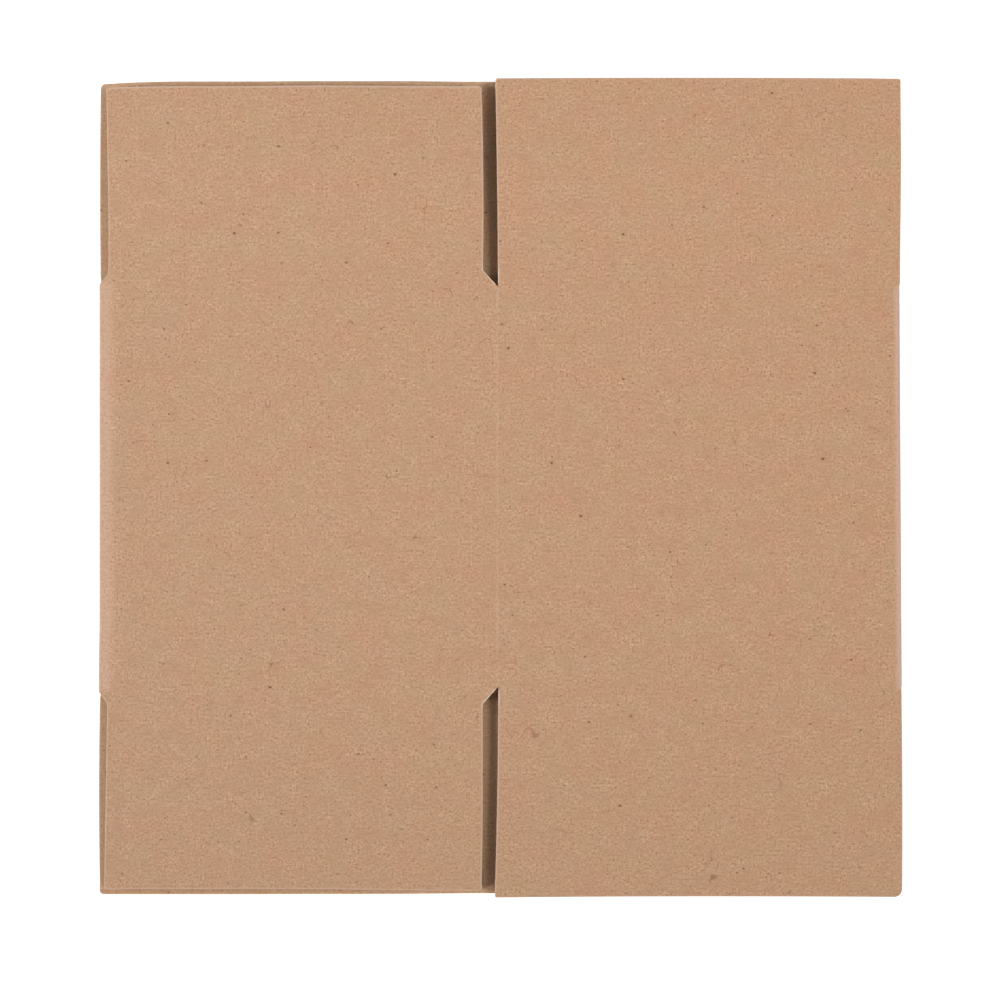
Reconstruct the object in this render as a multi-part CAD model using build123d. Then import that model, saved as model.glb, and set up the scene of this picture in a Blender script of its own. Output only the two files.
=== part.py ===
"""Slotted corrugated box, glued at its side joint and folded flat, in millimetres.

The box lies on one side wall and one end wall. X runs across the folded tube, Y along the
height of the box and the flutes of its board, and Z up through the two plies.
"""

import os

from build123d import *

# Inside of the box when it is set up
inside_length = 152.4
inside_width = 152.4
inside_height = 152.4

# Single-wall board with flutes of about six millimetres
board = 3.0
liner = 0.3
medium = 0.3
flute_pitch = 6.35
flank_run = 1.9

# Scoring allowances, added to the inside sizes
side_allowance = 1.6
end_allowance = 0.2
flap_allowance = 0.8

# Slots between the flaps, cut wholly from the end flaps, with slanting shoulders
slot_width = 6.0
shoulder_height = 6.7
fold_slot_inset = 3.8
fold_shoulder_start = 1.7
fold_shoulder_height = 5.5
slot_clearance = 0.2
corner_radius = 1.0

# Score lines, rolled into the inner face of the board
score_width = 3.0
score_depth = 0.9
crushed_length = 3.0
edge_margin = 1.2

# Glued side joint
tab_width = 32.0
tab_thickness = 1.5
tab_clearance = 0.3
tab_end_inset = 1.0
tab_end_taper = 8.6
joint_gap = 1.5
tab_hinge_depth = 1.8

# The two folded edges of the tube
fold_wall = 2.3
left_roll_top = 8.0
left_roll_under = 4.5
right_roll = 2.4

# Panels, from crease to crease
side_panel = inside_length + board + side_allowance
end_panel = inside_width + board + end_allowance
end_crease = (inside_height + board) / 2
side_crease = (inside_height + 3 * board) / 2
flap_length = (inside_width + board) / 2 + flap_allowance

# Heights of the plies, and the fold and crease lines across the flat box
upper_under = board + tab_thickness + tab_clearance
stack = upper_under + board
half_stack = stack / 2
crease_x = (end_panel - side_panel) / 2
left_fold = crease_x - end_panel
right_fold = crease_x + side_panel
seam_x = left_fold + side_panel


def roll(tip_x, run, rise, tip_z):
    """Quarter ellipse from the tip of a fold to the flat of its ply, run along X and rise up Z."""
    start = 180 if run > 0 else 0
    turn = 90 if run * rise < 0 else -90
    return EllipticalCenterArc((tip_x + run, tip_z), abs(run), abs(rise), start, arc_size=turn)


def rolled_outline(left_top, right_top, left_under, right_under):
    """Face inside four quarter rolls, joined by a flat line above and one below."""
    over = Line(left_top @ 1, right_top @ 1)
    under = Line(left_under @ 1, right_under @ 1)
    return make_face([left_top, over, right_top, right_under, under, left_under])


def folded_section():
    """Cross-section of the flattened tube: one closed band of board round a flat slit."""
    outside = rolled_outline(
        roll(left_fold, left_roll_top, half_stack, half_stack),
        roll(right_fold, -right_roll, half_stack, half_stack),
        roll(left_fold, left_roll_under, -half_stack, half_stack),
        roll(right_fold, -right_roll, -half_stack, half_stack),
    )
    slit_left = left_fold + fold_wall
    slit_right = right_fold - fold_wall
    slit_half = (upper_under - board) / 2
    slit_mid = board + slit_half
    slit_run = left_roll_top - fold_wall
    inside = rolled_outline(
        roll(slit_left, slit_run, slit_half, slit_mid),
        roll(slit_right, -slit_half, slit_half, slit_mid),
        roll(slit_left, slit_half, -slit_half, slit_mid),
        roll(slit_right, -slit_half, -slit_half, slit_mid),
    )
    return Plane.XZ * (outside - inside)


def block(x0, x1, y0, y1, z0, z1):
    """Cuboid between two opposite corners."""
    return Pos((x0 + x1) / 2, (y0 + y1) / 2, (z0 + z1) / 2) * Box(x1 - x0, y1 - y0, z1 - z0)


def groove(x0, x1, y, z, upward):
    """Round-bottomed score line along X, pressed into the face of the board at height z."""
    depth = score_depth if upward else -score_depth
    half = score_width / 2
    arc = ThreePointArc((y - half, z), (y, z + depth), (y + half, z))
    profile = make_face([arc, Line((y + half, z), (y - half, z))])
    return Pos(x0, 0, 0) * extrude(Plane.YZ * profile, x1 - x0)


def fluting(x0, x1, y0, y1, z0):
    """Air channels on both sides of the wavy medium, open at the free edge y1."""
    rise = board - 2 * liner - medium
    slant = (rise**2 + flank_run**2) ** 0.5
    middle = flute_pitch / 4 - medium / 2 * (slant - flank_run) / rise
    wide = middle + flank_run / 2
    narrow = middle - flank_run / 2
    step = flute_pitch / 2
    count = int((x1 - x0 - 2 * edge_margin - 2 * wide) // step) + 1
    first = (x0 + x1 - (count - 1) * step) / 2
    channels = []
    for number in range(count):
        x = first + number * step
        base = z0 + liner if number % 2 == 0 else z0 + board - liner
        top = base + rise if number % 2 == 0 else base - rise
        corners = [(x - wide, base), (x + wide, base), (x + narrow, top), (x - narrow, top)]
        profile = Plane.XZ * make_face(Polyline(*corners, close=True))
        channels.append(Pos(0, y1, 0) * extrude(profile, y1 - y0))
    return channels


def end_flap_outline(outer_x, inner_x, tip_x, y_end):
    """Plan of an end flap: full width at its crease, slotted back on both sides.

    outer_x is the fold beside it, tip_x the corner of its panel and inner_x the slot's edge.
    """
    inward = 1 if tip_x > outer_x else -1
    outline = Polyline(
        (outer_x, end_crease),
        (outer_x, end_crease + fold_shoulder_start),
        (outer_x + inward * fold_slot_inset, end_crease + fold_shoulder_height),
        (outer_x + inward * fold_slot_inset, y_end),
        (inner_x, y_end),
        (inner_x, end_crease + shoulder_height),
        (tip_x, end_crease),
        close=True,
    )
    return rounded_tip(make_face(outline), y_end)


def side_flap_outline(x0, x1, y_root, y_end):
    """Plan of a side flap: a full-width rectangle with its two free corners rubbed round."""
    centre = Pos((x0 + x1) / 2, (y_root + y_end) / 2)
    return rounded_tip(centre * Rectangle(x1 - x0, y_end - y_root), y_end)


def rounded_tip(outline, y_end):
    """Rounds the two corners of a flap's free edge."""
    tips = [corner for corner in outline.vertices() if abs(corner.Y - y_end) < corner_radius / 2]
    return fillet(tips, corner_radius)


def top_end_flap():
    """Upper end flap: the same bent section as its panel, cut to the slotted outline."""
    y_end = end_crease + flap_length
    ply = Pos(0, y_end, 0) * extrude(folded_section(), flap_length)
    ply &= block(left_fold, crease_x, end_crease, y_end, half_stack, stack)
    inner = crease_x - slot_width
    outline = end_flap_outline(left_fold, inner, crease_x - slot_clearance, y_end)
    flap = ply & extrude(outline, stack)
    flap -= groove(left_fold, crease_x, end_crease, upper_under, True)
    flutes_from = end_crease + max(shoulder_height, score_width / 2 + crushed_length)
    return flap - fluting(left_fold + left_roll_top, inner, flutes_from, y_end, upper_under)


def top_side_flap():
    """Upper side flap: flat board as wide as its panel."""
    y_end = side_crease + flap_length
    outline = side_flap_outline(crease_x, right_fold, side_crease, y_end)
    flap = Pos(0, 0, upper_under) * extrude(outline, board)
    flap -= groove(crease_x, right_fold, side_crease, upper_under, True)
    flutes_from = side_crease + score_width / 2 + crushed_length
    return flap - fluting(crease_x, right_fold, flutes_from, y_end, upper_under)


def upper_side_rim():
    """Strip of the upper side panel between the slot's tip and the crease of its flap."""
    rim = block(crease_x, right_fold, end_crease, side_crease, upper_under, stack)
    return rim - groove(crease_x, right_fold, side_crease, upper_under, True)


def lower_side_flap():
    """Side flap of the lower ply, with its strip of panel and a score line at its crease."""
    inner = seam_x - joint_gap / 2
    y_end = side_crease + flap_length
    outline = side_flap_outline(left_fold, inner, end_crease, y_end)
    flap = extrude(outline, board)
    flap -= groove(left_fold, inner, side_crease, board, False)
    flutes_from = side_crease + score_width / 2 + crushed_length
    return flap - fluting(left_fold, inner, flutes_from, y_end, 0)


def lower_end_flap():
    """End flap of the lower ply, slotted beside the glued joint and beside the fold."""
    inner = seam_x + joint_gap / 2
    y_end = end_crease + flap_length
    ply = Pos(0, y_end, 0) * extrude(folded_section(), flap_length)
    ply &= block(inner, right_fold, end_crease, y_end, 0, half_stack)
    outline = end_flap_outline(right_fold, seam_x + slot_width, inner, y_end)
    flap = ply & extrude(outline, stack)
    flutes_from = end_crease + max(shoulder_height, score_width / 2 + crushed_length)
    right = right_fold - max(fold_slot_inset, right_roll)
    return flap - fluting(seam_x + slot_width, right, flutes_from, y_end, 0)


def glue_tab():
    """Crushed tab of the side joint, glued on the inner face of the lower side panel."""
    root = seam_x + joint_gap / 2
    seat = seam_x - joint_gap / 2
    tip = root - tab_width
    half_root = end_crease - tab_end_inset
    half_tip = half_root - tab_end_taper
    top = board + tab_thickness
    plan = Polyline(
        (root + tab_thickness, half_root),
        (root, half_root),
        (tip, half_tip),
        (tip, -half_tip),
        (root, -half_root),
        (root + tab_thickness, -half_root),
        close=True,
    )
    profile = Polyline(
        (tip, board),
        (seat, board),
        (root, board - tab_hinge_depth),
        (root + tab_thickness, board - tab_hinge_depth),
        (root + tab_thickness, board),
        (root, top),
        (tip, top),
        close=True,
    )
    strip = extrude(Plane.XZ * make_face(profile), end_crease, both=True)
    return strip & extrude(make_face(plan), stack)


def folded_body():
    """The four panels, both folds, the glued joint and the four flaps of the lower ply."""
    tube = extrude(folded_section(), end_crease, both=True)
    tube -= block(
        seam_x - joint_gap / 2, seam_x + joint_gap / 2, -end_crease, end_crease, 0, board
    )
    rim = upper_side_rim()
    side_flap = lower_side_flap()
    end_flap = lower_end_flap()
    body = tube + glue_tab() + [rim, side_flap, end_flap]
    body += [mirror(piece, Plane.XZ) for piece in (rim, side_flap, end_flap)]
    inner = seam_x + joint_gap / 2
    for side in (1, -1):
        body -= groove(left_fold + left_roll_top, crease_x, side * end_crease, upper_under, True)
        body -= groove(inner, right_fold - fold_wall, side * end_crease, board, False)
    return body


os.makedirs("parts", exist_ok=True)
end_flap_top = top_end_flap()
side_flap_top = top_side_flap()
nodes = {
    "folded_body": folded_body(),
    "top_end_flap": end_flap_top,
    "top_side_flap": side_flap_top,
    "bottom_end_flap": mirror(end_flap_top, Plane.XZ),
    "bottom_side_flap": mirror(side_flap_top, Plane.XZ),
}
for name, shape in nodes.items():
    export_step(shape, f"parts/{name}.step")
    print(name, len(shape.solids()), round(shape.volume), shape.bounding_box())
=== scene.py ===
import math

import bpy
import numpy as np
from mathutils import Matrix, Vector


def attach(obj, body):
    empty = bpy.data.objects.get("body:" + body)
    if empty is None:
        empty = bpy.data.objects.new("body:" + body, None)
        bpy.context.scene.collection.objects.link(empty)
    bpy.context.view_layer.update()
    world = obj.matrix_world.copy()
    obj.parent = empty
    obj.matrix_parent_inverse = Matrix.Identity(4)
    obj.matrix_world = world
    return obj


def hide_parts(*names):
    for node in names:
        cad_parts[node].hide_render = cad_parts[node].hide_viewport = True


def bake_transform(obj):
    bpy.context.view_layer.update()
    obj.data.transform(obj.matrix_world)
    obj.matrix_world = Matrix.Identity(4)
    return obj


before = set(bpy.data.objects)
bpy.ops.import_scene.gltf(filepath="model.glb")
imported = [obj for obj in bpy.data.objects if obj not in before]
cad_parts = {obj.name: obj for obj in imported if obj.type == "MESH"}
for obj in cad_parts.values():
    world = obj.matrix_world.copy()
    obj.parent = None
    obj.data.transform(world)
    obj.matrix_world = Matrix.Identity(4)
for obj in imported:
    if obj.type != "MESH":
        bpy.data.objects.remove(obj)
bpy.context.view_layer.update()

# The box lies flat and is seen from straight above, its top flaps at the top of the picture.
# The picture is square, and 389 mm of the box's upper face spans it from side to side.
mm = 0.001
stack = 7.8
camera_height = 700.0
picture_span = 388.95
camera_y = -5.04
film_width = 36.0
view_limit = 10.0
camera_data = bpy.data.cameras.new("camera")
camera_data.sensor_width = film_width
camera_data.lens = film_width * camera_height / picture_span
camera_data.clip_end = view_limit
camera = bpy.data.objects.new("camera", camera_data)
camera.location = (0, camera_y * mm, (stack + camera_height) * mm)
bpy.context.scene.collection.objects.link(camera)
bpy.context.scene.camera = camera
bpy.context.scene.view_settings.view_transform = "Standard"

# Folded tube: four panels of one sheet of corrugated board with brown kraft liners, creased,
# folded over and closed by a glued joint under its middle. Its left fold is a gentle roll that
# draws the upper ply down, and its right fold is pressed tight.
board = 3.0
upper_under = 4.8
half_stack = stack / 2
left_fold = -156.45
right_fold = 156.5
crease_x = -0.7
seam_x = 0.7
end_crease = 77.7
fold_lean = 0.45
fold_draw = 0.3
fold_wall = 2.3
roll_reach = 7.6
roll_slope = 0.12
roll_softness = 1.9
fold_settles = 12.0
upper_left_run = 1.0
upper_right_run = 1.4
under_left_run = 3.6
under_right_run = 2.6
slit_left_run = 1.2
slit_right_run = 1.0
bead_height = 0.06
bead_half = 0.55
trough_depth = 0.04
trough_half = 2.4
joint_edge = 0.75
score_half = 2.6
score_depth = 0.7
edge_radius = 0.75
edge_sink = 0.16
sharp_edge = math.radians(40)
flute_pitch = 6.35
kraft_brown = (0.531, 0.3075, 0.179)
pale_kraft = (0.60, 0.374, 0.222)
medium_brown = (0.43, 0.27, 0.17)
speck_brown = (0.135, 0.032, 0.004)
fringe_highlight_brown = (0.60, 0.40, 0.29)
torn_highlight_brown = (0.85, 0.68, 0.52)
# Pale colour of the painted highlight on both folds.
fold_highlight_brown = (0.70, 0.47, 0.39)
fibre_tint = (1.58, 1.17, 0.89)
# Blotches to the millimetre, across the flutes and along them
grain_per_mm = (1.21, 1.15)
felt_per_mm = (0.28, 1.1)
cloud_per_mm = (0.13, 0.16)
rosy_per_mm = (0.07, 0.08)
sallow_per_mm = (0.05, 0.06)
paper_roughness = 0.66
fold_polish = 0.09
fibre_sheen = 0.06
sheen_roughness = 0.4


class Recipe:
    """A material's node tree, with short calls for the few kinds of node that it is built from."""

    def __init__(self, name):
        self.material = bpy.data.materials.new(name)
        self.material.use_nodes = True
        self.tree = self.material.node_tree
        self.sockets = self.tree.nodes["Principled BSDF"].inputs

    def join(self, value, socket):
        if isinstance(value, bpy.types.NodeSocket):
            self.tree.links.new(value, socket)
        else:
            socket.default_value = value

    def node(self, kind, inputs, **settings):
        """The outputs of a new node, whose inputs are given by their names or numbers."""
        node = self.tree.nodes.new("ShaderNode" + kind)
        for setting, value in settings.items():
            setattr(node, setting, value)
        for key, value in inputs.items():
            self.join(value, node.inputs[key])
        return node.outputs

    def math(self, operation, a, b=0.0, c=0.0):
        return self.node("Math", {0: a, 1: b, 2: c}, operation=operation)[0]

    def times(self, a, b):
        return self.math("MULTIPLY", a, b)

    def scale(self, vector, factor):
        return self.node("VectorMath", {0: vector, "Scale": factor}, operation="SCALE")[0]

    def stretch(self, vector, x, y, shift=0.0):
        place = {"Vector": vector, "Location": (shift, shift, 0), "Scale": (x, y, 1)}
        return self.node("Mapping", place)[0]

    def noise(self, vector, detail=2.0, rough=0.5, warp=0.0):
        """Noise centred on nought, about one unit of its vector from blotch to blotch."""
        inputs = {"Vector": vector, "Scale": 1.0, "Detail": detail, "Roughness": rough}
        inputs["Distortion"] = warp
        return self.math("SUBTRACT", self.node("TexNoise", inputs)[0], 0.5)

    def ramp(self, value, low, high):
        inputs = {"Value": value, "From Min": low, "From Max": high}
        return self.node("MapRange", inputs, interpolation_type="SMOOTHSTEP")[0]

    def mix(self, share, under, over):
        return self.node("Mix", {0: share, 6: under, 7: over}, data_type="RGBA")[2]

    def vary(self, colour, low, high, amount):
        """A colour times low to high, as the amount goes from minus to plus a half."""
        factor = self.mix(self.math("ADD", amount, 0.5), (*low, 1), (*high, 1))
        return self.node("VectorMath", {0: factor, 1: colour}, operation="MULTIPLY")[0]

    def blots(self, vector, size, share, radius):
        """Round specks, one in each square of the given size, of which only a share is kept."""
        flattening = 1.35
        scaled = self.stretch(vector, 1 / size, flattening / size, shift=size)
        cells = self.node("TexVoronoi", {"Vector": scaled, "Scale": 1.0}, voronoi_dimensions="2D")
        odds = self.node("SeparateColor", {"Color": cells["Color"]})
        reach = self.times(self.math("ADD", odds[1], 0.35), radius / size)
        near = self.math("SUBTRACT", 1.0, self.math("DIVIDE", cells["Distance"], reach))
        kept = self.math("GREATER_THAN", share, odds[0])
        strength = self.times(kept, self.math("ADD", odds[2], 0.3))
        return self.times(self.ramp(near, 0.0, 0.7), strength)

    def hairs(self, vector, size, share, width):
        """Long curved fibres: thin level lines of a slow noise, shown only in a few patches."""
        curves = self.stretch(vector, 1 / size, 1.3 / size, shift=3 * size)
        slow = self.noise(curves, detail=1.0, warp=0.4)
        line = self.ramp(self.math("ABSOLUTE", slow), width / size, 0.0)
        places = self.stretch(vector, 1.1 / size, 1.1 / size, shift=7 * size)
        patch = self.noise(places, detail=0.0)
        return self.times(line, self.ramp(patch, 0.5 - share, 0.56 - share))


def fold_highlight(r, across, along):
    """Share of the painted highlight on the two folded edges, from its place on the flat sheet."""
    from_roll = r.math("ABSOLUTE", r.math("SUBTRACT", across, left_fold - 2.7))
    from_tight = r.math("ABSOLUTE", r.math("SUBTRACT", across, right_fold + 3.0))
    on_tight = r.times(r.ramp(from_tight, 6.2, 4.2), 2.2)
    fold_highlight_share = r.math("MAXIMUM", r.ramp(from_roll, 10.3, 5.3), on_tight)
    from_middle = r.math("ABSOLUTE", along)
    return r.times(fold_highlight_share, r.ramp(from_middle, end_crease + 2.0, end_crease))


def paper(name, brown, grain=1.0, flute=0.0, highlit_folds=False):
    """Paper of a brown, with its grain, its fibres and the faint print of the flutes under it.

    Where the mesh says that a cut edge or a worn crease is near, paler torn fibres cover it. The same
    pale colour is also painted as a highlight on the tight fold and, in part, on the rims, and a pale
    painted highlight can be laid on both folds.
    """
    r = Recipe(name)
    blank = r.scale(r.node("UVMap", {})[0], 1 / mm)
    across, along = r.node("SeparateXYZ", {"Vector": blank})[:2]
    fine = r.noise(r.stretch(blank, *grain_per_mm), rough=0.6)
    square = r.times(fine, fine)
    fine = r.times(fine, r.math("MULTIPLY_ADD", square, 9.0, 1.0))
    fine = r.math("MULTIPLY_ADD", square, -1.3, fine)
    felt = r.noise(r.stretch(blank, *felt_per_mm, shift=40))
    cloud = r.noise(r.stretch(blank, *cloud_per_mm, shift=90))
    shade = r.times(fine, r.math("MULTIPLY_ADD", cloud, 0.7, 0.28 * grain))
    shade = r.math("MULTIPLY_ADD", felt, 0.10 * grain, shade)
    shade = r.math("MULTIPLY_ADD", cloud, 0.05 * grain, shade)

    rosy = r.noise(r.stretch(blank, *rosy_per_mm, shift=150))
    sallow = r.noise(r.stretch(blank, *sallow_per_mm, shift=210))
    side_to_side = r.times(across, 1 / (right_fold - left_fold))
    base = r.vary(brown, (0.955, 1.08, 1.05), (1.045, 0.92, 0.95), rosy)
    base = r.vary(base, (1.0, 1.006, 1.05), (1.0, 0.994, 0.95), sallow)
    base = r.vary(base, (0.997, 1.012, 1.032), (1.003, 0.994, 0.975), side_to_side)
    colour = r.node("VectorMath", {0: base, 1: r.scale(fibre_tint, shade)})[0]

    small_specks = r.blots(blank, size=4.2, share=0.26, radius=0.42)
    large_specks = r.times(r.blots(blank, size=15.0, share=0.42, radius=0.72), 1.12)
    long_fibres = r.times(r.hairs(blank, size=14.0, share=0.33, width=0.10), 0.7)
    marks = r.math("MAXIMUM", r.math("MAXIMUM", small_specks, large_specks), long_fibres)
    marks = r.math("MINIMUM", r.times(marks, 0.66), 0.82)
    colour = r.mix(marks, colour, (*speck_brown, 1))

    # Pale edge colour: torn fibres at cut edges and the crease, and painted highlight on the tight fold
    # and in part along the rims.
    fringe_and_highlight = r.node("Attribute", {}, attribute_name="fringe_and_highlight_layer")["Fac"]
    colour = r.mix(r.times(r.ramp(fringe_and_highlight, 0.15, 0.95), 0.7), colour, (*fringe_highlight_brown, 1))
    colour = r.mix(r.times(r.ramp(fringe_and_highlight, 0.9, 1.9), 0.6), colour, (*torn_highlight_brown, 1))
    if highlit_folds:
        fold_highlight_share = fold_highlight(r, across, along)
        # Painted highlight on both folds: a pale colour that stands in for their sheen. The lower
        # roughness there is real gloss.
        colour = r.mix(r.times(fold_highlight_share, 0.22), colour, (*fold_highlight_brown, 1))
        polished = r.math("MULTIPLY_ADD", fold_highlight_share, -fold_polish, paper_roughness)
        r.join(polished, r.sockets["Roughness"])
    else:
        r.sockets["Roughness"].default_value = paper_roughness
    r.join(colour, r.sockets["Base Color"])

    relief = r.math("MULTIPLY_ADD", felt, 0.02, r.times(fine, 0.05))
    if flute:
        wave = r.math("COSINE", r.times(across, 2 * math.pi / flute_pitch))
        relief = r.math("MULTIPLY_ADD", wave, flute, relief)
    bump = r.node("Bump", {"Strength": 1.0, "Distance": mm, "Height": relief})[0]
    r.join(bump, r.sockets["Normal"])
    r.sockets["Sheen Weight"].default_value = fibre_sheen
    r.sockets["Sheen Roughness"].default_value = sheen_roughness
    return r.material


outer_liner = paper("outer_liner", kraft_brown, flute=0.006, highlit_folds=True)
inner_liner = paper("inner_liner", pale_kraft, flute=0.02)
fluted_medium = paper("fluted_medium", medium_brown, grain=1.3)


def smooth(value):
    value = np.clip(value, 0, 1)
    return value * value * (3 - 2 * value)


def sag(x, y):
    """Gentle unevenness of the upper ply, in millimetres."""
    return (0.10 * np.sin(x / 31 + 0.7) * np.cos(y / 43 + 0.4)
            + 0.07 * np.sin(x / 17 - y / 23 + 1.9)
            + 0.05 * np.cos(x / 53 + y / 12))


def roll_height(distance, run):
    """Height of a rolled fold over its tip, from nought at the tip to one where it is flat."""
    rest = np.clip(1 - distance / run, 0, 1)
    return np.sqrt(1 - rest * rest)


def pull(distance):
    """How far the left fold draws the upper ply down at a distance from its tip."""
    lead = (roll_reach - distance) / roll_softness
    return roll_slope * roll_softness * np.where(lead < 1, 0.5 * np.clip(lead, 0, 1) ** 2, lead - 0.5)


def right_tip(y):
    return right_fold - fold_lean * y / end_crease


def left_tip(y):
    return left_fold - fold_draw * smooth((-y - 50) / 25)


def upper_face(x, y):
    """Height of the upper ply's outer face between the two folds, with its centre crease."""
    from_left = x - left_tip(y)
    from_right = right_tip(y) - x
    edge = roll_height(from_left, upper_left_run) * roll_height(from_right, upper_right_run)
    inner = smooth(np.minimum(from_left, from_right) / fold_settles)
    bead = bead_height * np.exp(-((x - crease_x) / bead_half) ** 2)
    bead = bead - trough_depth * np.exp(-((x - crease_x) / trough_half) ** 2)
    full = stack - half_stack - pull(from_left)
    return half_stack + full * edge + (sag(x, y) + bead) * inner


def score(y, line):
    """Share of the score line's depth at y, for a line pressed across the board."""
    return smooth(1 - np.abs(np.abs(y) - line) / score_half)


def edge_curve(distance):
    """How far a cut edge's paper is drawn down at a distance from the cut."""
    rest = np.clip(1 - distance / edge_radius, 0, 1)
    return edge_sink * (1 - np.sqrt(1 - rest * rest))


def spread(start, end, count, dense_start, dense_end):
    """Stations from start to end, crowded where an edge or a tight curve needs them."""
    fine = np.array([0, 0.06, 0.15, 0.28, 0.45, 0.65, 0.9, 1.3, 1.8, 2.5, 3.4, 4.6, 6.2, 8.2])
    first = fine if dense_start else fine[:1]
    last = fine if dense_end else fine[:1]
    middle = np.linspace(start + first[-1], end - last[-1], count)
    return np.concatenate([start + first[:-1], middle, (end - last[:-1])[::-1]])


def shell(outer, inner, outer_uv, inner_uv, cut, slot=0):
    """A closed sheet between two grids of points. All sizes are in millimetres.

    cut says how strongly the pale edge colour lies on each point: torn fibres near a cut edge, and in
    part painted highlight. slot says which of the papers the sheet is.
    """
    rows, columns = outer.shape[:2]
    count = rows * columns
    index = np.arange(count).reshape(rows, columns)
    corners = [index[:-1, :-1], index[:-1, 1:], index[1:, 1:], index[1:, :-1]]
    top = np.stack(corners, -1).reshape(-1, 4)
    ring = np.concatenate([index[0], index[1:, -1], index[-1, -2::-1], index[-2:0:-1, 0]])
    after = np.roll(ring, -1)
    rim = np.stack([after, ring, ring + count, after + count], -1)
    points = np.concatenate([outer.reshape(-1, 3), inner.reshape(-1, 3)])
    quads = np.concatenate([top, top[:, ::-1] + count, rim])
    a, b, c, d = (points[quads[:, k]] for k in range(4))
    volume = (a * np.cross(b - a, c - a) + a * np.cross(c - a, d - a)).sum()
    uv = np.concatenate([outer_uv.reshape(-1, 2), inner_uv.reshape(-1, 2)])
    return points, quads if volume > 0 else quads[:, ::-1], uv, np.tile(cut.ravel(), 2), slot


def board_piece(name, shells, papers, y_sign=1):
    """One mesh of several closed sheets, mirrored to the bottom end of the box if y_sign is -1."""
    points, quads, uvs, edge_shares, slots = [], [], [], [], []
    base = 0
    for sheet_points, sheet_quads, uv, cut, slot in shells:
        points.append(sheet_points * (1, y_sign, 1))
        quads.append((sheet_quads if y_sign > 0 else sheet_quads[:, ::-1]) + base)
        uvs.append(uv * (1, y_sign))
        edge_shares.append(cut)
        slots.append(np.full(len(sheet_quads), slot))
        base += len(sheet_points)
    points, quads, uvs = np.concatenate(points), np.concatenate(quads), np.concatenate(uvs)
    mesh = bpy.data.meshes.new(name)
    mesh.from_pydata((points * mm).tolist(), [], quads.tolist())
    layer = mesh.uv_layers.new(name="blank")
    layer.data.foreach_set("uv", (uvs[quads.ravel()] * mm).astype(np.float32).ravel())
    fringe_and_highlight_layer = mesh.attributes.new("fringe_and_highlight_layer", "FLOAT", "POINT")
    fringe_and_highlight_layer.data.foreach_set("value", np.concatenate(edge_shares).astype(np.float32))
    for sheet_paper in papers:
        mesh.materials.append(sheet_paper)
    mesh.polygons.foreach_set("material_index", np.concatenate(slots).astype(np.int32))
    mesh.polygons.foreach_set("use_smooth", np.ones(len(quads), bool))
    mesh.set_sharp_from_angle(angle=sharp_edge)
    mesh.validate()
    piece = bpy.data.objects.new(name, mesh)
    bpy.context.scene.collection.objects.link(piece)
    return piece


def tube_path():
    """Places across the box of the stations round the tube, and which lie on the upper ply."""
    fine = np.array([0, 0.02, 0.07, 0.16, 0.3, 0.5, 0.75, 1.05, 1.4, 1.9, 2.6, 3.5, 4.6,
                     6.0, 7.6, 9.5, 12])
    flat_from = fine[-1]
    flat_left = np.linspace(flat_from, seam_x - joint_edge - left_fold, 36)[1:]
    bottom_left = np.concatenate([fine[1:], flat_left])[::-1] + left_fold
    across = np.linspace(left_fold + flat_from, right_fold - flat_from, 100)[1:-1]
    near = crease_x + np.array([-2.4, -1.6, -1.1, -0.7, -0.35, 0, 0.35, 0.7, 1.1, 1.6, 2.4])
    across = np.unique(np.concatenate([across[np.abs(across - crease_x) > 3], near]))
    top = np.concatenate([left_fold + fine, across, (right_fold - fine)[::-1]])
    flat_right = np.linspace(flat_from, right_fold - seam_x - joint_edge, 36)[1:]
    bottom_right = right_fold - np.concatenate([fine[1:], flat_right])
    on_upper = [np.zeros(len(bottom_left)), np.ones(len(top)), np.zeros(len(bottom_right))]
    return np.concatenate([bottom_left, top, bottom_right]), np.concatenate(on_upper) > 0


def lean(x, y):
    """Station moved so that it follows the slight lean of the folded edges."""
    left = 1 - smooth((x - left_fold) / 30)
    right = 1 - smooth((right_fold - x) / 30)
    return x + left * (left_tip(y) - left_fold) + right * (right_tip(y) - right_fold)


path_x, path_upper = tube_path()
half_length = spread(0, end_crease, 22, False, True)
tube_y = np.concatenate([-half_length[:0:-1], half_length])
grid_x, grid_y = np.meshgrid(path_x, tube_y)
upper = np.broadcast_to(path_upper, grid_x.shape)
fold_x = lean(grid_x, grid_y)
to_left = fold_x - left_tip(grid_y)
to_right = right_tip(grid_y) - fold_x
under_roll = roll_height(to_left, under_left_run) * roll_height(to_right, under_right_run)
under_face = half_stack * (1 - under_roll)
outer_z = np.where(upper, upper_face(fold_x, grid_y), under_face)

gap_half = (upper_under - board) / 2
slit_mid = board + gap_half
narrow = np.clip((to_left - fold_wall) / (roll_reach - fold_wall), 0.12, 1)
in_left = left_tip(grid_y) + fold_wall
in_right = right_tip(grid_y) - fold_wall
tube_width = right_tip(grid_y) - left_tip(grid_y)
inner_x = in_left + to_left * (in_right - in_left) / tube_width
slit = gap_half * roll_height(inner_x - in_left, slit_left_run)
slit = slit * roll_height(in_right - inner_x, slit_right_run)
in_fold = slit < gap_half * 0.98
pressed = score_depth * score(grid_y, end_crease)
inner_upper = outer_z - board + pressed * (fold_x < crease_x)
inner_upper = np.where(in_fold, slit_mid + slit * narrow, inner_upper)
inner_upper = np.maximum(inner_upper, slit_mid + slit * 0.1)
inner_lower = np.where(in_fold, slit_mid - slit, board - pressed * (fold_x > seam_x))
inner_z = np.where(upper, inner_upper, inner_lower)

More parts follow.
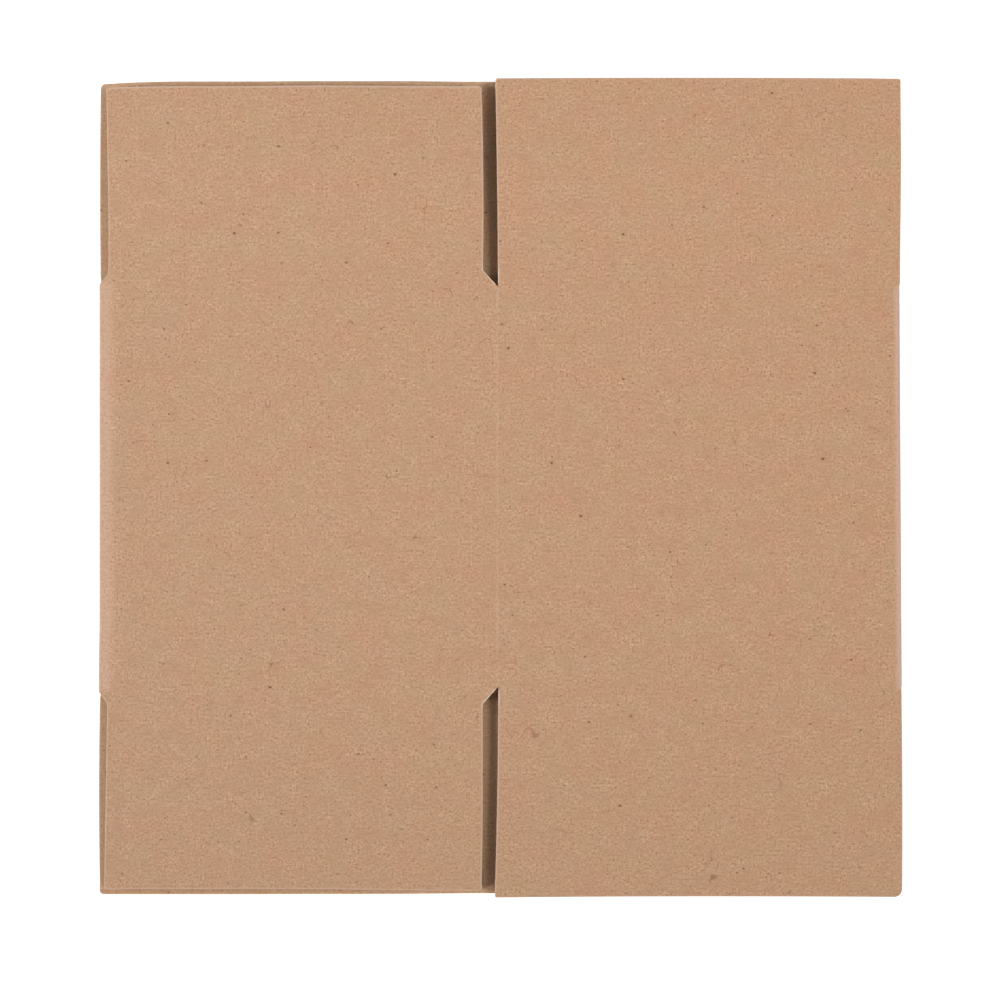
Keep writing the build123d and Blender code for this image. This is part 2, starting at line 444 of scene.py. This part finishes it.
middle_row = len(tube_y) // 2
middle_station = len(path_x) // 2
steps = np.hypot(np.diff(fold_x[0]), np.diff(outer_z[middle_row]))
around = np.concatenate([[0], np.cumsum(steps)])
around += fold_x[0][middle_station] - around[middle_station]
tube_uv = np.stack([np.broadcast_to(around, fold_x.shape), grid_y], -1)
from_seam = np.where(upper, np.inf, np.abs(fold_x - seam_x) - joint_edge)
# Painted highlight on the tight fold's tip, laid on as pale edge colour.
tight_fold_highlight = 0.7 * smooth(1.4 - to_right / 1.7)
crease_wear = 0.53 + 0.10 * np.sin(grid_y / 4.1 + 2) + 0.08 * np.sin(grid_y / 9.7)
crease_wear = crease_wear * np.exp(-((fold_x - crease_x + 0.2) / 0.65) ** 2) * upper
tube_fringe_and_highlight = np.maximum(np.maximum(smooth(1 - from_seam / 1.2), tight_fold_highlight), crease_wear)
outer_z = outer_z + edge_curve(from_seam)
tube_shell = shell(np.stack([fold_x, grid_y, outer_z], -1), np.stack([inner_x, grid_y, inner_z], -1),
                   tube_uv, tube_uv + (900, 0), tube_fringe_and_highlight)
tube = board_piece("folded_panels", [tube_shell], [outer_liner])
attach(tube, "folded_body")
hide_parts("folded_body")

# Lower side flaps: full-width flaps of the hidden ply, which peep out beside and beyond the
# upper end flaps. Each is two liners with the wavy medium between them, open at the free edge.
# They are creased to their panel and lie on the table, so they have no hinge of their own.
side_crease = 80.7
flap_length = 78.5
lower_tip = side_crease + flap_length
crease_span = 3.0
liner_share = 0.1
wave_share = 0.35
medium_half = 0.13
medium_inset = 0.35
medium_from = 8.5
medium_step = 0.4
clear_of_tip = 40.0
fringe_width = 1.1
root_hold = 9.0
fold_corner_reach = 34.0
lower_side_shapes = {
    "top": dict(y_sign=1, left=(0.02, -0.22, 0.08), droop=1.15, out_left=-0.13, fall=40, short=0.15),
    "bottom": dict(y_sign=-1, left=(-0.1, -0.56, -0.18), droop=0.0, out_left=0.12, fall=55, short=0.13),
}


def bent(y, start, end, at_start, at_middle, at_end):
    """A line's small offset, on a gentle curve through three given values."""
    t = np.clip((y - start) / (end - start), 0, 1)
    return at_start * (1 - t) * (1 - 2 * t) + at_middle * 4 * t * (1 - t) + at_end * t * (2 * t - 1)


def corner(y, tip, radius):
    """How far a side draws in at the rounded corner of the free edge."""
    rest = np.clip((y - (tip - radius)) / radius, 0, 1)
    return radius * (1 - np.sqrt(1 - np.minimum(rest, 0.999) ** 2))


def near_fold(x):
    """Share of the end line's turn beside the left fold: one at the fold, nought further in."""
    return np.clip((left_fold + fold_corner_reach - x) / fold_corner_reach, 0, 1) ** 2


def flap_rows(crease, tip, corners):
    """Stations from the end of the panel to the free edge."""
    bend = np.linspace(0, crease_span, 14)
    root = np.linspace(end_crease, crease, 4)[:-1] if crease > end_crease else np.array([])
    rest = spread(crease + crease_span, tip, 24, False, True)[1:]
    return np.unique(np.round(np.concatenate([root, crease + bend, rest, corners]), 3))


def torn_fringe(y, from_fold, from_slot, from_tip, fringe_and_highlight_shares):
    """Strength of the pale edge colour, with shares for the fold side, the slot side and the tip. It is
    partly torn fibres and partly a painted highlight on the rims.

    It is held off the end of the panel, and is paler by the slot's slanting shoulder.
    """
    fold_share, slot_share, tip_share = fringe_and_highlight_shares
    hold = root_hold * (1 - smooth((y - end_crease) / 1.2))
    slot_share = slot_share * (1 + 0.8 * smooth((end_crease + 8 - y) / 2))
    by_fold = fold_share * smooth(1 - (from_fold + hold) / fringe_width)
    by_slot = slot_share * smooth(1 - (from_slot + hold) / fringe_width)
    return np.maximum(np.maximum(by_fold, by_slot), tip_share * smooth(1 - from_tip / fringe_width))


def flap_piece(name, left, right, tip, crease, face, inward, y_sign, corners=(), curl=None,
               fringe_and_highlight_shares=(0.75, 1, 1), slot_on_right=False):
    """The three sheets of one flap, from the end of its panel to its free edge.

    left and right give its side lines, face the outer face's height, inward its direction and
    curl the end line. corners are stations that the outline needs.
    """
    rows = flap_rows(crease, tip, np.array(corners))
    width = 1000
    margin = 8.2
    unit = spread(0, width, 44, True, True)
    x_left = left(rows)[:, None]
    x_right = right(rows)[:, None]
    inner_share = (unit - margin) / (width - 2 * margin)
    middle_x = x_left + margin + inner_share * (x_right - x_left - 2 * margin)
    x = np.where(unit > width - margin, x_right - (width - unit), middle_x)
    x = np.where(unit < margin, x_left + unit, x)
    y = np.broadcast_to(rows[:, None], x.shape)
    from_tip = tip - y
    held = root_hold * (1 - smooth((y - end_crease) / 2.5))
    sink = edge_curve(np.minimum(np.minimum(unit, width - unit) + held, from_tip))
    outer = face(x, y_sign * y)
    thick = board - score_depth * score(y, crease) - 2 * sink
    from_fold, from_slot = (unit, width - unit) if slot_on_right else (width - unit, unit)
    fringe_and_highlight = torn_fringe(y, from_fold, from_slot, from_tip, fringe_and_highlight_shares)

    def curled(x, y):
        """y with the end line's curl, which grows from nought at the crease."""
        return y + curl(x) * smooth((y - crease) / (tip - crease)) if curl else y

    def sheet(a, b, uv_shift, slot):
        """A liner between two shares of the board's thickness."""
        spot = np.stack([x, y], -1)
        first = np.stack([x, curled(x, y), outer + inward * (sink + a * thick)], -1)
        second = np.stack([x, curled(x, y), outer + inward * (sink + b * thick)], -1)
        return shell(first, second, spot + (uv_shift, 0), spot + (uv_shift + 400, 0), fringe_and_highlight, slot)

    start = crease + medium_from
    wave_rows = np.concatenate([[start], np.linspace(start + 3, tip - 2, 4), [tip - 0.9, tip - 0.25]])
    count = int((right(tip - 5.0) - left(tip - 5.0)) / medium_step)
    share = np.linspace(0, 1, count)
    wave_left = left(wave_rows)[:, None] + medium_inset
    wave_right = right(wave_rows)[:, None] - medium_inset
    wave_x = wave_left + share * (wave_right - wave_left)
    wave_y = np.broadcast_to(wave_rows[:, None], wave_x.shape)
    clear_left = left(tip - clear_of_tip)
    straight = clear_left + share * (right(tip - clear_of_tip) - clear_left)
    phase = np.cos(2 * np.pi * straight / flute_pitch)
    wave_sink = edge_curve(tip - wave_y)
    depth = wave_sink + (0.5 + wave_share * phase) * (board - 2 * wave_sink)
    middle = face(wave_x, y_sign * wave_y) + inward * depth
    spot = np.stack([wave_x, wave_y], -1)
    over = np.stack([wave_x, curled(wave_x, wave_y), middle + medium_half], -1)
    under = np.stack([wave_x, curled(wave_x, wave_y), middle - medium_half], -1)
    wave = shell(over, under, spot + (1800, 0), spot + (2300, 0), 0 * wave_x, 2)
    sheets = [sheet(0, liner_share, 0, 0), sheet(1 - liner_share, 1, 900, 1), wave]
    return board_piece(name, sheets, [outer_liner, inner_liner, fluted_medium], y_sign)


def table_face(x, y):
    """Underside of a lower flap: flat at the top of the box, a little lifted at the bottom."""
    lift = 0.6 * smooth((-y - side_crease - 1) / 6) - 0.2 * smooth((-y - 115) / 40)
    lift = lift * (1 - 0.4 * smooth((-x - 110) / 40))
    return lift + 1.3 * smooth((-y - 155.8) / 3.4)


for end_name, shape in lower_side_shapes.items():
    def lower_left_side(y):
        return left_fold + bent(y, end_crease, lower_tip, *shape["left"]) + corner(y, lower_tip, 1.8)

    def lower_joint_side(y):
        return seam_x - joint_edge - corner(y, lower_tip, 1.2)

    def lower_curl(x):
        at_left = shape["out_left"] * smooth((-x - 75) / 25) - shape["droop"] * near_fold(x)
        return at_left - 0.3 * smooth((x + shape["fall"]) / shape["fall"]) - shape["short"]

    flap = flap_piece(f"{end_name}_lower_side_flap", lower_left_side, lower_joint_side, lower_tip,
                      side_crease, table_face, 1, shape["y_sign"], curl=lower_curl,
                      fringe_and_highlight_shares=(0.1, 0.1, 0.1))
    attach(flap, "folded_body")

# Lower end flaps: slotted flaps of the hidden ply, under the upper side flaps and a little
# shorter. They are cut from the same board, creased to their panel, and lie on the table.
slot_width = 6.0
fold_slot_inset = 3.8
shoulder_height = 6.7
fold_shoulder = (1.7, 5.5)
fold_side_gap = 0.4
end_tip = end_crease + flap_length


def shoulder(y, width, start, height):
    """How far a slot's slanting shoulder has cut into a flap, y beyond the end of its panel."""
    return width * np.clip((y - end_crease - start) / (height - start), 0, 1)


for end_name, y_sign in (("top", 1), ("bottom", -1)):
    def lower_slot_side(y):
        cut = shoulder(y, slot_width, 0, shoulder_height)
        return seam_x + joint_edge + cut + corner(y, end_tip, 1.2)

    def lower_fold_side(y):
        inset = shoulder(y, fold_slot_inset, *fold_shoulder)
        return right_fold - fold_side_gap - inset - corner(y, end_tip, 1.2)

    flap = flap_piece(f"{end_name}_lower_end_flap", lower_slot_side, lower_fold_side, end_tip,
                      end_crease, table_face, 1, y_sign, fringe_and_highlight_shares=(0, 0, 0),
                      corners=[end_crease + place for place in (*fold_shoulder, shoulder_height)])
    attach(flap, "folded_body")

# Upper end flaps: cut from the same board and cut back on both sides by the slots, with slanting
# shoulders down to the corners of their panel. They bend on the crease at the end of the panel.
side_gap = 0.15
upper_end_shapes = {
    # The top flap's tip share is larger than the bottom flap's: the extra is a painted highlight on
    # that rim.
    "top": dict(y_sign=1, left=(0.15, 0.22, -0.40), slot=(0.25, 0.4, -0.35), at_fold=-0.75,
                end=(-0.6, -0.3), turn=(50, 50), shoulder=(1.0, 5.5), fringe_and_highlight_shares=(0.75, 1.4, 1.6)),
    "bottom": dict(y_sign=-1, left=(-0.3, -0.87, -1.43), slot=(0.15, 0.15, -0.25), at_fold=0.35,
                   end=(0.12, 0.82), turn=(75, 65), shoulder=(1.5, 6.7), fringe_and_highlight_shares=(0.75, 1.4, 1.0)),
}


def flap_rise(y, crease):
    """How far an upper flap has sprung up, more at the top of the box than at its bottom."""
    rise = 1.0 * smooth((y - crease - 5) / 45) + 0.3 * smooth((-y - crease - 5) / 60)
    return rise - 0.7 * smooth((y - 125) / 30)


def free_face(x, y):
    """Outer face of an upper end flap: it leaves the panel's height and soon lies flat."""
    out = smooth((np.abs(y) - end_crease) / 9)
    near = upper_face(x, np.clip(y, -end_crease, end_crease))
    rest = flap_rise(y, end_crease) + 1.3 * smooth((y - 105) / 50) * smooth((-x - 20) / 60)
    return near * (1 - out) + (stack + sag(x, y) * 0.7 + rest) * out


for end_name, shape in upper_end_shapes.items():
    def fold_side(y):
        inset = shoulder(y, fold_slot_inset, *shape["shoulder"])
        bow = bent(y, end_crease + 6, end_tip, *shape["left"])
        return left_fold + side_gap + inset + bow + corner(y, end_tip, 1.0)

    def slot_side(y):
        cut = shoulder(y, slot_width, 0, shoulder_height)
        bow = bent(y, end_crease + 7, end_tip, *shape["slot"])
        return crease_x - side_gap - cut + bow - corner(y, end_tip, 1.2)

    def end_curl(x):
        left, right = shape["end"]
        start, length = shape["turn"]
        share = smooth((x - left_fold - start) / length)
        return shape["at_fold"] * near_fold(x) + left + (right - left) * share

    y_sign = shape["y_sign"]
    flap = flap_piece(f"{end_name}_end_flap_board", fold_side, slot_side, end_tip, end_crease,
                      free_face, -1, y_sign, curl=end_curl,
                      corners=[end_crease + place for place in (*shape["shoulder"], shoulder_height)],
                      fringe_and_highlight_shares=shape["fringe_and_highlight_shares"], slot_on_right=True)
    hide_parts(f"{end_name}_end_flap")
    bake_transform(flap)

# Upper side flaps: of the same board and as wide as their panel. They are creased one board
# thickness further out, so that on the set-up box they close over the end flaps.
side_tip = side_crease + flap_length
upper_side_shapes = {
    "top": dict(y_sign=1, slot=(-0.04, -0.44, -1.14), fold=(-0.9, -0.7, -0.7),
                end=(-0.22, -0.01, -0.37), far_corner=1.0),
    "bottom": dict(y_sign=-1, slot=(0.05, -0.35, -1.35), fold=(-0.3, 0.0, -0.1),
                   end=(0.50, 0.05, 0.3), far_corner=3.1),
}


def flat_face(x, y):
    """Outer face of an upper side flap: the tight roll of its panel opens out flat."""
    out = smooth((np.abs(y) - end_crease) / 3)
    near = upper_face(x, np.clip(y, -end_crease, end_crease))
    return near * (1 - out) + (stack + sag(x, y) * 0.7 + flap_rise(y, side_crease)) * out


for end_name, shape in upper_side_shapes.items():
    def slot_side(y):
        return crease_x + bent(y, end_crease, side_tip, *shape["slot"]) + corner(y, side_tip, 0.9)

    def fold_side(y):
        bow = bent(y, end_crease, side_tip, *shape["fold"])
        return right_fold + bow - corner(y, side_tip, shape["far_corner"])

    def side_curl(x):
        return bent(x, crease_x, right_fold, *shape["end"])

    y_sign = shape["y_sign"]
    flap = flap_piece(f"{end_name}_side_flap_board", slot_side, fold_side, side_tip, side_crease,
                      flat_face, -1, y_sign, curl=side_curl)
    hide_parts(f"{end_name}_side_flap")
    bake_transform(flap)

# The glue tab: a crushed strip of the lower end panel, glued to the inside of the lower side
# panel. Its ends are cut on a slant, and it shows only through the gap under the box.
tab_width = 32.0
tab_thickness = 1.5
tab_hinge_depth = 1.8
tab_half = end_crease - 1.0
tab_taper = 8.6
over_seat = np.linspace(-tab_width + 2, -joint_edge, 14)
over_joint = [-0.2, 0.1, joint_edge, joint_edge + 0.8, joint_edge + 1.5]
stations = np.concatenate([[-tab_width, -tab_width + 0.4], over_seat, over_joint]) + seam_x
tab_x, tab_share = np.meshgrid(stations, np.linspace(-1, 1, 41))
tab_y = tab_share * (tab_half - tab_taper * np.clip((seam_x - tab_x) / tab_width, 0, 1))
tab_low = board - tab_hinge_depth * smooth((tab_x - seam_x + joint_edge) / (2 * joint_edge))
thinning = smooth((tab_x - seam_x - joint_edge + 0.2) / 1.7)
tab_high = board + tab_thickness - thinning * tab_thickness
tab_spot = np.stack([tab_x, tab_y], -1)
tab_shell = shell(np.stack([tab_x, tab_y, tab_high], -1), np.stack([tab_x, tab_y, tab_low], -1),
                  tab_spot + (900, 300), tab_spot + (0, 300), 0 * tab_x)
tab = board_piece("glue_tab", [tab_shell], [outer_liner])
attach(tab, "folded_body")

# Studio: a white sweep under the box, a soft lamp on each side, and even white light all round.
# The sweep's own glow is seen by the camera and in reflections alone. Its reach and the
# places and sizes of the lamps are in metres.
sweep_reach = 4.0
sweep_drop = 0.05
sweep_grey = (0.86, 0.86, 0.86, 1)
sweep_glow = 0.68
surround_strength = 0.25
lamp_spread = math.radians(36)
lamp_target = (0, 0.26, 0)
floor_mesh = bpy.data.meshes.new("floor")
sweep_corners = [(-1, -1), (1, -1), (1, 1), (-1, 1)]
sweep_points = [(x * sweep_reach, y * sweep_reach, 0) for x, y in sweep_corners]
floor_mesh.from_pydata(sweep_points, [], [(0, 1, 2, 3)])
floor = bpy.data.objects.new("floor", floor_mesh)
floor.location.z = -sweep_drop * mm
bpy.context.scene.collection.objects.link(floor)
sweep = Recipe("white_sweep")
sweep.sockets["Base Color"].default_value = sweep_grey
sweep.sockets["Roughness"].default_value = 0.9
rays = sweep.node("LightPath", {})
seen = sweep.math("MAXIMUM", rays["Is Camera Ray"], rays["Is Glossy Ray"])
seen = sweep.math("MAXIMUM", seen, rays["Is Transmission Ray"])
sweep.sockets["Emission Color"].default_value = (1, 1, 1, 1)
sweep.join(sweep.times(seen, sweep_glow), sweep.sockets["Emission Strength"])
floor_mesh.materials.append(sweep.material)

world = bpy.data.worlds.new("studio")
bpy.context.scene.world = world
world.use_nodes = True
backdrop = world.node_tree.nodes["Background"]
backdrop.inputs["Color"].default_value = (1, 1, 1, 1)
backdrop.inputs["Strength"].default_value = surround_strength

for lamp_name, place, power, width, length in (
        ("left", (-1.92, -0.15, 1.15), 4.14, 1.05, 1.40),
        ("right", (1.50, -0.13, 1.56), 3.25, 1.5, 1.40)):
    lamp_data = bpy.data.lights.new(f"{lamp_name}_softbox", "AREA")
    lamp_data.shape = "RECTANGLE"
    lamp_data.size = width
    lamp_data.size_y = length
    lamp_data.spread = lamp_spread
    lamp_data.energy = power
    lamp = bpy.data.objects.new(f"{lamp_name}_softbox", lamp_data)
    lamp.location = place
    direction = Vector(lamp_target) - lamp.location
    lamp.rotation_euler = direction.to_track_quat("-Z", "X").to_euler()
    bpy.context.scene.collection.objects.link(lamp)

bpy.context.view_layer.update()
